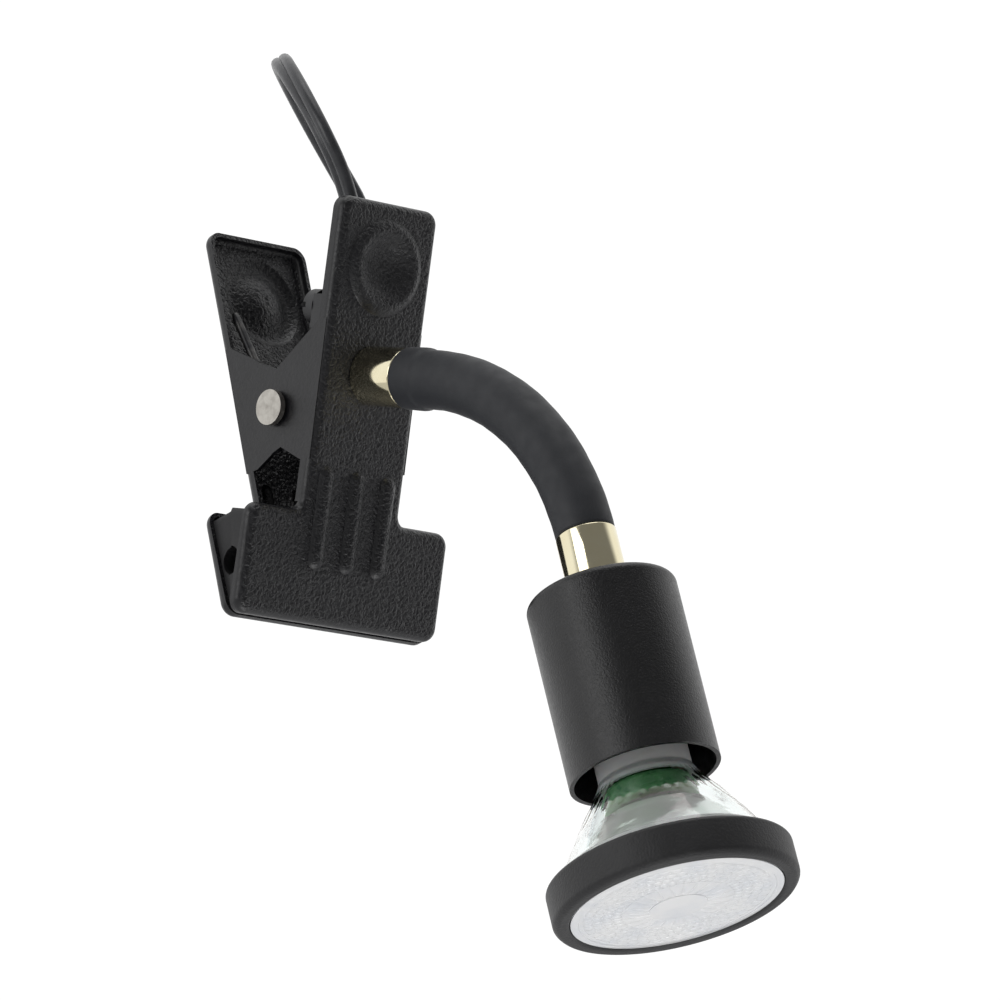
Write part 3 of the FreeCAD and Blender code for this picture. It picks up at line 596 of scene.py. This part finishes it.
def hank_turns():
    """Control points of the wound lead: upright oval turns, three abreast and three deep."""
    spread = 1 / math.cos(math.radians(15))
    points = []
    for turn, (radius, across) in enumerate(HANK_TURNS):
        for step in range(6):
            angle = math.radians(195 + 30 * step)
            points.append(swung(across, HANK_AWAY + radius * spread * math.cos(angle),
                                HANK_Z - HANK_HALF + radius * spread * math.sin(angle)))
        points.append(swung(across, HANK_AWAY + radius, HANK_Z))
        if turn + 1 == len(HANK_TURNS):
            break
        next_radius, next_across = HANK_TURNS[turn + 1]
        for step in range(6):
            angle = math.radians(15 + 30 * step)
            share = (step + 0.5) / 6
            reach = (radius + (next_radius - radius) * share) * spread
            points.append(swung(across + (next_across - across) * share,
                                HANK_AWAY + reach * math.cos(angle),
                                HANK_Z + HANK_HALF + reach * math.sin(angle)))
        points.append(swung(next_across, HANK_AWAY - next_radius, HANK_Z))
    return points


def cord_route():
    """Control points of the whole lead, from the strain relief to inside the plug."""
    onward = (BOOT_TIP - BOOT_FOOT).normalized()
    rise = [BOOT_TIP - onward * 3 * MM, BOOT_TIP + onward * 11 * MM] + arch_points()
    drop = [swung(13.5, 44.2, 99.5), swung(5.4, 42.0, 80.0), swung(4.9, 39.6, 62.0)]
    tail = [swung(6.0, 68.5, 60.0), swung(9.8, 54.5, 69.0), swung(9.6, 50.3, 84.0),
            swung(TAIL_ACROSS, 50.0, 98.5), swung(6.5, 70.0, 110.1),
            swung(PLUG_ACROSS, PLUG_AWAY, 98.5), swung(PLUG_ACROSS, PLUG_AWAY, PLUG_TOP - 4.0)]
    return rise + drop + hank_turns() + tail, len(rise)


def spline_points(controls):
    """Points along one NURBS spline through the route."""
    curve = bpy.data.curves.new("lead_line", "CURVE")
    curve.dimensions = "3D"
    curve.resolution_u = 8
    spline = curve.splines.new("NURBS")
    spline.points.add(len(controls) - 1)
    for point, place in zip(spline.points, controls):
        point.co = (*place, 1)
    spline.order_u = 3
    spline.use_endpoint_u = True
    holder = bpy.data.objects.new("lead_line", curve)
    scene.collection.objects.link(holder)
    bpy.context.view_layer.update()
    mesh = bpy.data.meshes.new_from_object(holder)
    points = [vertex.co.copy() for vertex in mesh.vertices]
    bpy.data.objects.remove(holder)
    return points


def lead_outline(steps=9):
    """Two round cores side by side, joined in a shallow groove."""
    offset = CORD_WIDTH / 2 - LOBE_RADIUS
    meet = math.pi - math.acos(offset / LOBE_RADIUS)
    outline = []
    for side in (1, -1):
        for step in range(steps):
            angle = -meet + 2 * meet * (step + 0.5) / steps
            if side < 0:
                angle = angle + math.pi
            outline.append((side * offset + LOBE_RADIUS * math.cos(angle),
                            LOBE_RADIUS * math.sin(angle)))
        outline.append((0, side * math.sqrt(LOBE_RADIUS ** 2 - offset ** 2) * 0.93))
    return outline


def nearest(points, spot):
    return min(range(len(points)), key=lambda i: (points[i] - spot).length)


def make_cord(look):
    controls, rise_count = cord_route()
    points = spline_points(controls)
    leftward = swung(-1, 0, 0).normalized()
    awayward = swung(0, 1, 0).normalized()
    arch_side = swung(*ARCH_LEAN.cross(ARCH_AWAY)).normalized()
    rise_side = (arch_side * 0.62 + awayward * 0.78).normalized()
    marks = [(0, rise_side), (nearest(points, controls[2]), rise_side),
             (nearest(points, controls[4]), arch_side),
             (nearest(points, controls[rise_count]), arch_side),
             (nearest(points, controls[rise_count + 2]), leftward), (len(points) - 1, leftward)]
    outline = lead_outline()
    rings = []
    mark = 0
    for i, point in enumerate(points):
        while mark < len(marks) - 2 and i >= marks[mark + 1][0]:
            mark += 1
        (i0, side0), (i1, side1) = marks[mark], marks[mark + 1]
        share = min(max((i - i0) / max(i1 - i0, 1), 0.0), 1.0)
        side = side0.lerp(side1, share * share * (3 - 2 * share))
        along = (points[min(i + 1, len(points) - 1)] - points[max(i - 1, 0)]).normalized()
        side = (side - along * side.dot(along)).normalized()
        thin = along.cross(side)
        rings += [point + side * u + thin * v for u, v in outline]
    faces = ring_faces(len(points), len(outline)) + end_caps(len(points), len(outline))
    piece = mesh_piece("mains_lead", rings, faces, look, "clamp_front", 60)
    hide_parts("cord_lead", "cord_hank", "cord_tail")
    return piece, points


def make_boot(look):
    """Strain relief with stress-relief grooves, wide at the grip and thin at the tip."""
    axis = BOOT_TIP - BOOT_FOOT
    length = axis.length
    outline = [(1.2 * MM, 0.0), (4.15 * MM, 0.0), (4.2 * MM, 0.6 * MM)]
    for groove in range(5):
        z = length * (0.44 + 0.095 * groove)
        radius = 4.2 * MM - 1.25 * MM * z / length
        outline += [(radius, z), (radius - 0.75 * MM, z + 0.25 * MM),
                    (radius - 0.78 * MM, z + 0.75 * MM), (radius - 0.05 * MM, z + 1.0 * MM)]
    outline += [(2.9 * MM, length - 0.7 * MM), (2.6 * MM, length), (1.2 * MM, length)]
    piece = turned("strain_relief", outline, frame_along(BOOT_FOOT, axis), look, "clamp_front", 48)
    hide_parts("cord_boot")
    return piece


PLUG_AROUND = 40
# Each section: millimetres from the plug's top, half its width and thickness, and its form
PLUG_SECTIONS = ((-42.0, 11.8, 4.9, 0.6), (-41.4, 12.5, 5.5, 0.6), (-39.4, 12.5, 5.5, 0.6),
                 (-38.0, 9.8, 5.0, 0.6), (-35.0, 8.6, 4.7, 0.6), (-28.0, 8.2, 4.6, 0.6),
                 (-20.0, 8.0, 4.6, 0.6), (-16.4, 7.4, 4.6, 0.65), (-14.6, 5.8, 4.4, 0.8),
                 (-13.4, 4.2, 4.2, 1.0), (0.0, 3.2, 3.2, 1.0))


def plug_outline(half_x, half_y, form):
    """A rounded rectangle that becomes an ellipse as its form goes to 1."""
    outline = []
    for step in range(PLUG_AROUND):
        angle = 2 * math.pi * step / PLUG_AROUND
        c, d = math.cos(angle), math.sin(angle)
        outline.append((half_x * math.copysign(abs(c) ** form, c),
                        half_y * math.copysign(abs(d) ** form, d)))
    return outline


def make_plug(look):
    """Moulded plug: flange at the blades, narrow ribbed grip and tapered relief."""
    rows = []
    for (z0, *low), (z1, *high) in zip(PLUG_SECTIONS, PLUG_SECTIONS[1:]):
        count = max(int((z1 - z0) / 0.45), 2)
        for k in range(count):
            t = k / count
            rows.append((z0 + (z1 - z0) * t, [p + (q - p) * t for p, q in zip(low, high)]))
    rows.append((PLUG_SECTIONS[-1][0], PLUG_SECTIONS[-1][1:]))
    points = []
    for z, (half_x, half_y, form) in rows:
        grip = max(0.0, 1 - abs(z + 26.0) / 9.5) ** 0.3
        rib = 0.35 * grip * (0.5 + 0.5 * math.cos(2 * math.pi * z / 2.7))
        groove = 0.45 * max(0.0, math.cos(2 * math.pi * (z + 1.2) / 2.4)) * (-12 < z < -1)
        for x, y in plug_outline(half_x - groove, half_y + rib - groove, form):
            points.append(swung(PLUG_ACROSS + x, PLUG_AWAY + y, PLUG_TOP + z))
    faces = ring_faces(len(rows), PLUG_AROUND) + end_caps(len(rows), PLUG_AROUND)
    piece = mesh_piece("plug_moulding", points, faces, look, "clamp_front", 40)
    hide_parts("plug_body")
    return piece


# ---------------------------------------------------------------- clamp details

def clamp_spring(look):
    """Double-leg torsion spring of round wire: front leg, coil, rear leg."""
    start = math.radians(180 + FRONT_LEG)
    end = math.radians(-REAR_LEG + 360 * COIL_TURNS)
    line = []

    def on_coil(angle, x):
        return PIVOT + Vector((x, COIL_RADIUS * math.cos(angle), COIL_RADIUS * math.sin(angle)))

    front_up = Vector((0, -math.sin(math.radians(FRONT_LEG)), math.cos(math.radians(FRONT_LEG))))
    rear_up = Vector((0, math.sin(math.radians(REAR_LEG)), math.cos(math.radians(REAR_LEG))))
    foot = on_coil(start, COIL_HALF)
    for step in range(WIRE_STEPS):
        line.append(foot + front_up * (LEG_LENGTH * (1 - step / WIRE_STEPS)))
    count = WIRE_STEPS * COIL_TURNS
    for step in range(count + 1):
        share = step / count
        line.append(on_coil(start + (end - start) * share, COIL_HALF * (1 - 2 * share)))
    foot = on_coil(end, -COIL_HALF)
    for step in range(1, WIRE_STEPS + 1):
        line.append(foot + rear_up * (LEG_LENGTH * step / WIRE_STEPS))
    around = 14
    points = []
    side = Vector((1, 0, 0))
    for i, point in enumerate(line):
        along = (line[min(i + 1, len(line) - 1)] - line[max(i - 1, 0)]).normalized()
        side = (side - along * side.dot(along)).normalized()
        up = along.cross(side)
        shrink = 0.75 if i in (0, len(line) - 1) else 1.0
        for j in range(around):
            angle = 2 * math.pi * j / around
            offset = side * math.cos(angle) + up * math.sin(angle)
            points.append(point + offset * (WIRE_RADIUS * shrink))
    faces = ring_faces(len(line), around) + end_caps(len(line), around)
    piece = mesh_piece("spring_wire", points, faces, look, None, 60)
    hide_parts("clamp_spring")
    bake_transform(piece)


# ---------------------------------------------------------------- arm

def sleeve_radius(s):
    """Outer radius of the sleeve: a thicker collar, then a smooth tube."""
    lip = min(max((s - FERRULE_LENGTH) / (0.7 * MM), 0.0), 1.0)
    step = min(max((COLLAR_END + 0.8 * MM - s) / (1.6 * MM), 0.0), 1.0)
    end = min(max((NECK_END - s) / (0.5 * MM), 0.0), 1.0)
    radius = SLEEVE_RADIUS + (COLLAR_RADIUS - SLEEVE_RADIUS) * step * step * (3 - 2 * step)
    ripple = 0.03 * MM * math.sin(s * 420) + 0.02 * MM * math.sin(s * 1130 + 1)
    return radius + ripple - 0.5 * MM * (1 - math.sqrt(lip * (2 - lip))) \
        - 0.35 * MM * (1 - math.sqrt(end * (2 - end)))


def flexible_sleeve(look):
    """The sleeve in seven lengths, each lying over one joint, with seams between joints."""
    around = 56
    for i in range(LINKS + 1):
        joint = FIRST_JOINT + LINK_LENGTH * i
        s0 = FERRULE_LENGTH if i == 0 else joint - LINK_LENGTH / 2
        s1 = NECK_END if i == LINKS else joint + LINK_LENGTH / 2
        count = max(int(round((s1 - s0) / (0.35 * MM))), 12)
        stations = [s0 + (s1 - s0) * k / count for k in range(count + 1)]
        rows = [(s, sleeve_radius(s)) for s in stations]
        rows = [(s0, SLEEVE_BORE)] * (i == 0) + rows + [(s1, SLEEVE_BORE)] * (i == LINKS)
        points = []
        for s, radius in rows:
            place = frame_along(*neck_frame(s))
            for j in range(around):
                angle = 2 * math.pi * j / around
                points.append(place @ Vector((radius * math.cos(angle), radius * math.sin(angle), 0)))
        faces = [tuple(reversed(face)) for face in ring_faces(len(rows), around)]
        piece = mesh_piece("sleeve_part_%d" % (i + 1), points, faces, look, None, 50)
        stands_for = ["sleeve_link_%d" % i] if i else ["sleeve_base", "sleeve_collar"]
        if i == LINKS:
            stands_for.append("sleeve_end")
        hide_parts(*stands_for)
        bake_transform(piece)


def ferrules(look):
    """Polished end fittings with a rolled lip."""
    for name, start, length, body in (("base_ferrule", 0.0, FERRULE_LENGTH, "clamp_front"),
                                      ("head_ferrule", NECK_END, HEAD_FERRULE, "lamp_head")):
        r = FERRULE_RADIUS
        corners = [(5.1 * MM, 0.02 * MM), (r, 0.02 * MM), (r, length), (5.1 * MM, length)]
        outline = soft_outline(corners, 0.35 * MM)
        piece = turned(name + "_turned", outline, frame_along(*neck_frame(start)), look, body, 128)
        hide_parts(name)


# ---------------------------------------------------------------- lamp

GLASS_PROFILE = ((43.8, 10.6), (45.4, 11.3), (48.1, 13.1), (51.2, 15.4), (54.6, 17.8),
                 (58.4, 20.2), (61.5, 22.1), (64.5, 23.7))


def lamp_neck(look):
    corners = [(0.0, 22.0), (8.6, 22.0), (8.6, 25.0), (10.25, 26.2), (10.3, 44.2), (11.0, 45.2),
               (10.6, 46.2), (9.2, 46.2), (9.0, 29.0), (0.0, 29.0)]
    outline = soft_outline(in_metres(corners), 0.5 * MM)
    piece = turned("lamp_neck", outline, HEAD, look, "lamp")
    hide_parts("bulb_base")


def lamp_cup(glass):
    """Clear cup with pressed flutes where the neck opens into the bowl."""
    outer = [(r * MM, z * MM) for z, r in GLASS_PROFILE]
    inner = [(r - 1.1 * MM, z + 0.25 * MM) for r, z in outer]
    fine = []
    for run in (outer, inner[::-1]):
        for a, b in zip(run, run[1:]):
            for k in range(4):
                fine.append((a[0] + (b[0] - a[0]) * k / 4, a[1] + (b[1] - a[1]) * k / 4))
        fine.append(run[-1])

    def flute(one, angle):
        near = math.exp(-((one[1] / MM - 51.6) / 1.4) ** 2)
        top = math.exp(-((one[1] / MM - 46.0) / 1.2) ** 2)
        return 0.16 * MM * (near * abs(math.sin(18 * angle)) + 0.5 * top * abs(math.sin(24 * angle)))

    piece = turned("lamp_cup", fine, HEAD, glass, "lamp", 216, flute)
    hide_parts("bulb_reflector")


def lamp_inside(silver, green, white, glow):
    """What shows through the glass: bright inner cup, green carrier and the light source."""
    cup = [(9.9, 52.6), (12.6, 53.6), (15.2, 56.4), (17.8, 59.6), (20.2, 62.4), (20.0, 62.6),
           (17.4, 60.0), (14.8, 57.0), (12.3, 54.2), (9.9, 53.2)]
    piece = turned("lamp_inner_cup", in_metres(cup), HEAD, silver, "lamp", 96)
    band = [(8.6, 46.4), (9.4, 46.4), (10.0, 47.2), (10.4, 50.8), (9.4, 51.6), (8.6, 51.6)]
    piece = turned("driver_band", soft_outline(in_metres(band), 0.25 * MM), HEAD, green, "lamp", 96)
    dome = [(0.0, 64.8), (5.6, 64.8), (5.6, 65.5), (4.2, 65.95), (2.2, 66.2), (0.0, 66.25)]
    piece = turned("light_source", in_metres(dome), HEAD, glow, "lamp", 64)
    dress(white, "led_board")


def lamp_ring(look):
    top, low = RING_TOP, RING_BOTTOM
    corners = [(24.3, top), (26.2, top), (26.95, top + 0.7), (27.0, low - 1.2), (26.0, low),
               (24.0, low), (23.35, low - 0.6), (23.4, low - 1.6), (24.6, low - 1.6),
               (24.6, top + 1.2), (23.0, top + 1.2), (23.0, top)]
    outline = soft_outline(in_metres(corners), 0.6 * MM, 5)
    piece = turned("lamp_ring", outline, HEAD, look, "lamp", 144)
    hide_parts("bulb_ring")


# Radii of the lens's zones, in millimetres
LENS_DISC = 6.4
PETALS_END = 12.2
PILLOWS_END = 20.6
RIM_START = 21.6
LENS_EDGE = 23.25
PILLOW_ROW = 2.1
PILLOW_ROWS = 4
PILLOWS_AROUND = 48


def lens_height(r, angle):
    """How far the lens stands down from its rim plane, in millimetres."""
    if r < LENS_DISC:
        return 1.25 + 0.25 * math.sqrt(max(1 - (r / LENS_DISC) ** 2, 0))
    if r < PETALS_END:
        share = (r - LENS_DISC) / (PETALS_END - LENS_DISC)
        petal = abs(math.cos(12 * angle)) ** 0.7
        return 1.05 - 0.35 * share + 0.42 * petal * math.sin(math.pi * share) ** 0.8
    if r < PILLOWS_END:
        row = (r - PETALS_END) / PILLOW_ROW
        u = row - math.floor(row)
        v = angle * PILLOWS_AROUND / (2 * math.pi) + 0.5 * (math.floor(row) % 2)
        v = v - math.floor(v)
        bulge = (1 - (2 * u - 1) ** 2) * (1 - (2 * v - 1) ** 2)
        return 0.62 - 0.25 * (r - PETALS_END) / (PILLOWS_END - PETALS_END) + 0.42 * bulge ** 0.7
    if r < RIM_START:
        return 0.30
    return 0.55 - 0.18 * (r - RIM_START)


def lamp_lens(look):
    """Prismatic lens: middle disc, petals, rows of small pillow lenses and a clear rim."""
    around = 288
    radii = [0.02, 3.0, 5.0, 6.0, 6.35, 6.45] + [6.45 + 5.7 * k / 10 for k in range(1, 11)]
    radii += [PETALS_END + PILLOW_ROW * (row + k / 6) for row in range(PILLOW_ROWS) for k in range(6)]
    radii += [20.55, 20.65, 21.5, 21.65, 22.4, 23.0, LENS_EDGE]
    points = []
    for r in radii:
        for j in range(around):
            angle = 2 * math.pi * j / around
            z = (RING_BOTTOM - 0.6 + 0.8 * lens_height(r, angle)) * MM
            points.append(HEAD @ Vector((r * MM * math.cos(angle), r * MM * math.sin(angle), z)))
    for r, z in ((LENS_EDGE, RING_BOTTOM - 1.7), (0.02, RING_BOTTOM - 3.6)):
        for j in range(around):
            angle = 2 * math.pi * j / around
            points.append(HEAD @ Vector((r * MM * math.cos(angle), r * MM * math.sin(angle), z * MM)))
    faces = ring_faces(len(radii) + 2, around)
    piece = mesh_piece("lamp_lens", points, faces, look, None, 60)
    weld(piece)
    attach(piece, "lamp")
    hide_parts("bulb_lens")


# ---------------------------------------------------------------- put together

make_camera()
vinyl = cord_vinyl()
moulded = moulded_black()
plug_black = moulded_black("plug_black", (0.019, 0.019, 0.021))
lead, lead_points = make_cord(vinyl)
boot = make_boot(moulded)
plug = make_plug(plug_black)
dress(bright_brass(), "plug_blades", "holder_contacts", "bulb_pins")
dress(woven_tie(), "hank_tie")

make_world()
make_floor()
softbox("key_left", -1.3, 0.7, 1.1, 1.1, 9.0)
softbox("top", 0.2, 1.7, 0.0, 1.0, 5.0)
softbox("under", 0.5, -1.6, 0.7, 1.2, 11.0)

powder = powder_black()
dress(powder, "front_plate", "rear_plate")
dress(nickel(), "pivot_pin", "pin_clip")
dress(pad_rubber(), "front_pad", "rear_pad")
dress(moulded, "cord_grip", "grip_bar", "grip_screw")
zinc = zinc_steel()
dress(zinc, "base_nipple", "base_nut", "base_washer", "head_nipple", "head_nut", "holder_bracket",
      "holder_screws", "tube_base", "tube_end")
dress(zinc, *["tube_link_%d" % i for i in range(1, LINKS + 1)])
dress(satin_black(), "head_shell")
dress(ceramic(), "lamp_holder")
green = board_green()
dress(green, "driver_board")
clamp_spring(black_wire())
flexible_sleeve(black_sleeve())
ferrules(pale_brass())
lamp_neck(white_plastic())
lamp_cup(lamp_glass())
lamp_inside(silvered_cup(), green, board_white(), phosphor())
lamp_ring(ring_black())
lamp_lens(lens_clear())

scene.view_settings.view_transform = "Standard"
